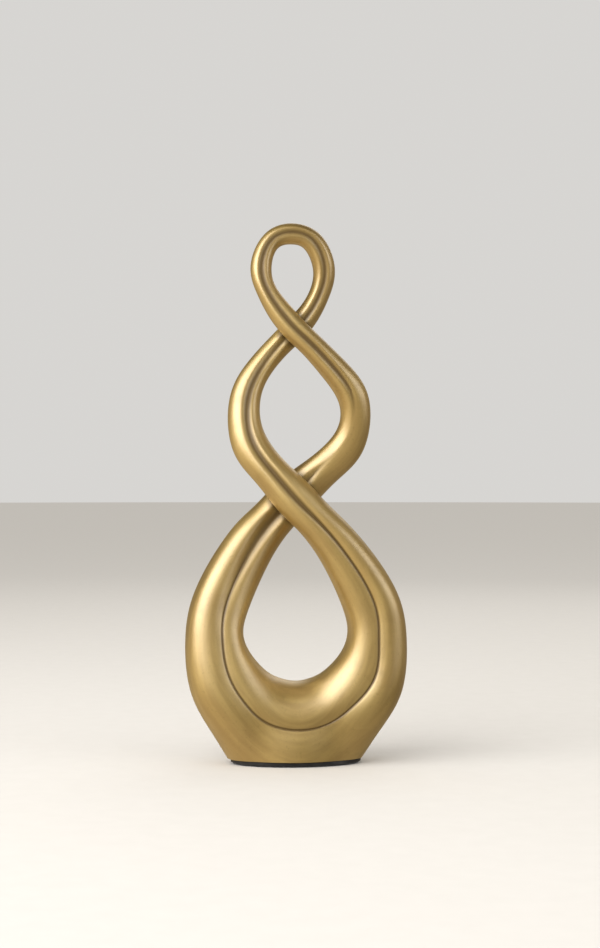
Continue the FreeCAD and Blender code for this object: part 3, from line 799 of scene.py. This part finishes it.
def black_paint():
    """Satin black paint with a slight orange peel and rubbed, greyer patches."""
    finish = Finish(bpy.data.materials.new("black_paint"), PAINT_BLACK)
    here = finish.here()
    peel = finish.noise(here, scale=700, detail=2, roughness=0.5)
    rubbed = finish.noise(here, scale=90, detail=4, roughness=0.6)
    colour = finish.blend(
        finish.smooth(rubbed, low=0.45, high=0.75), PAINT_DEEP, PAINT_RUBBED)
    return finish.finished({
        "Base Color": colour,
        "Roughness": 0.34 + rubbed * 0.2,
        "Normal": finish.bump(peel, 0.2 * MM, strength=0.4),
    })


def black_felt():
    """Pressed felt: matted fibres, a little grey lint."""
    finish = Finish(bpy.data.materials.new("black_felt"), FELT_BLACK)
    here = finish.here()
    fibres, crossed = (
        finish.noise(finish.stretched(here, scales), scale=1, detail=5, roughness=0.7)
        for scales in (FIBRE_SCALES, CROSSED_SCALES))
    mat = finish.math("MAXIMUM", fibres, crossed)
    lint = finish.noise(here, scale=240, detail=4, roughness=0.7)
    colour = finish.blend(finish.smooth(mat, low=0.45, high=0.75), FELT_DEEP, FELT_RAISED)
    colour = finish.blend(finish.smooth(lint, low=0.62, high=0.8) * 0.35, colour, LINT_GREY)
    return finish.finished({
        "Base Color": colour,
        "Roughness": 0.95,
        "Sheen Weight": 0.3,
        "Sheen Roughness": 0.6,
        "Normal": finish.bump(mat, 0.6 * MM, strength=0.8),
    })


def pale_floor():
    """A plain pale studio floor."""
    finish = Finish(bpy.data.materials.new("pale_floor"), FLOOR_PALE)
    grain = finish.noise(finish.here(), scale=60, detail=3, roughness=0.5)
    colour = finish.blend(grain, FLOOR_SHADED, FLOOR_LIT)
    return finish.finished({"Base Color": colour, "Roughness": 0.6, "Specular IOR Level": 0})


gold = gold_leaf()
steel = turned_steel()
paint = black_paint()
felt = black_felt()

for name in CASTINGS:
    casting(name).data.materials.append(gold)

NODE_FINISHES = {
    "lower_left_dowel": steel,
    "lower_right_dowel": steel,
    "top_left_dowel": steel,
    "top_right_dowel": steel,
    "middle_crossing_pin": steel,
    "top_crossing_pin": steel,
    "base_plate": paint,
    "base_screws": steel,
    "felt_pad": felt,
}
for name, material in NODE_FINISHES.items():
    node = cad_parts[name]
    for slot in node.material_slots:
        slot.material = material
    if not node.material_slots:
        node.data.materials.append(material)

# The floor is a wide disc, its radius in metres. It doesn't show in the gold.
FLOOR_RADIUS = 12
RIM_POINTS = 96
floor_mesh = bpy.data.meshes.new("floor")
rim_angles = [2 * math.pi * step / RIM_POINTS for step in range(RIM_POINTS)]
floor_mesh.from_pydata(
    [(FLOOR_RADIUS * math.cos(angle), FLOOR_RADIUS * math.sin(angle), 0)
     for angle in rim_angles],
    [], [list(range(RIM_POINTS))])
floor = bpy.data.objects.new("floor", floor_mesh)
bpy.context.scene.collection.objects.link(floor)
floor_mesh.materials.append(pale_floor())
floor.visible_glossy = False

# The lamps face the middle of the knot. Places and sizes are in metres, power in watts.
LAMP_AIM = (0, 0, 0.2)
LAMP_SPREAD = math.radians(115)
SOFTBOXES = {
    # name: place, wide, tall, power, colour
    "left_softbox": ((-1.05, -0.85, 0.95), 2.1, 1.4, 18.5, (1, 0.99, 0.98)),
    "front_softbox": ((0.3, -2.4, 0.9), 2.0, 0.9, 0.15, (1, 0.985, 0.95)),
    "right_softbox": ((1.9, -1.4, 0.85), 2.2, 1.1, 8.0, (1, 0.98, 0.95)),
    "back_softbox": ((0.7, 2.0, 1.5), 1.8, 1.2, 3.6, (1, 0.99, 0.97)),
}


def softbox(name, place, wide, tall, power, colour):
    """A large soft lamp that the camera doesn't see."""
    lamp = bpy.data.lights.new(name, "AREA")
    lamp.shape = "RECTANGLE"
    lamp.size = wide
    lamp.size_y = tall
    lamp.energy = power
    lamp.color = colour
    lamp.spread = LAMP_SPREAD
    light = bpy.data.objects.new(name, lamp)
    light.location = place
    light.rotation_mode = "QUATERNION"
    light.rotation_quaternion = (Vector(LAMP_AIM) - Vector(place)).to_track_quat("-Z", "Y")
    light.visible_camera = False
    bpy.context.scene.collection.objects.link(light)


for name, (place, wide, tall, power, colour) in SOFTBOXES.items():
    softbox(name, place, wide, tall, power, colour)

ROOM_NEUTRAL = (0.80, 0.785, 0.76)
ROOM_WARM = (0.80, 0.66, 0.44)
# How bright the room is to the camera and to the floor
CAMERA_SEES = 0.85
FLOOR_SEES = 1.25
# Two directions in the room that the gold sees: it darkens along the first, away from the
# table, and brightens along the second
OFF_THE_TABLE = (0.55, 0, 1)
TOWARDS_WALL = (0.65, 0.75, 0)


def studio_light():
    """The room: pale to the camera and even to the floor. The gold sees a dim, warm room
    over a table that is lighter on the left, with a lighter wall behind on the right."""
    room = Finish(bpy.data.worlds.new("studio"))
    sides = room.node("TexCoord", output="Generated")
    table = room.between(
        room.dot(sides, OFF_THE_TABLE), low=-0.8, high=0.05, at_low=0.85, at_high=0.05)
    wall = room.between(
        room.dot(sides, TOWARDS_WALL), low=0.15, high=0.95, at_low=0.05, at_high=0.42)
    strength = room.math("MAXIMUM", table, wall)
    for ray, seen in (("Is Diffuse Ray", FLOOR_SEES), ("Is Camera Ray", CAMERA_SEES)):
        strength = room.between(
            room.node("LightPath", output=ray), low=0, high=1, at_low=strength, at_high=seen)
    glossy_ray = room.node("LightPath", output="Is Glossy Ray")
    colour = room.blend(glossy_ray, ROOM_NEUTRAL, ROOM_WARM)
    light = room.node("Background", None, {"Color": colour, "Strength": strength})
    room.node("OutputWorld", None, {"Surface": light})
    return room.owner


bpy.context.scene.world = studio_light()
bpy.context.scene.view_settings.view_transform = "Standard"

# The camera stands level in front of the knot, a little to its left. Distances are in
# metres, the lens and the sensor in millimetres.
CAMERA_AZIMUTH = math.radians(-5)
CAMERA_DISTANCE = 1.3
CAMERA_HEIGHT = 0.214
CAMERA_SIDE = 0.003
LENS = 66.5
SENSOR_WIDTH = 36
camera = bpy.data.objects.new("camera", bpy.data.cameras.new("camera"))
camera.data.lens = LENS
camera.data.sensor_width = SENSOR_WIDTH
camera.location = (
    CAMERA_DISTANCE * math.sin(CAMERA_AZIMUTH) + CAMERA_SIDE * math.cos(CAMERA_AZIMUTH),
    -CAMERA_DISTANCE * math.cos(CAMERA_AZIMUTH) + CAMERA_SIDE * math.sin(CAMERA_AZIMUTH),
    CAMERA_HEIGHT)
camera.rotation_euler = (math.pi / 2, 0, CAMERA_AZIMUTH)
bpy.context.scene.collection.objects.link(camera)
bpy.context.scene.camera = camera

bpy.context.view_layer.update()
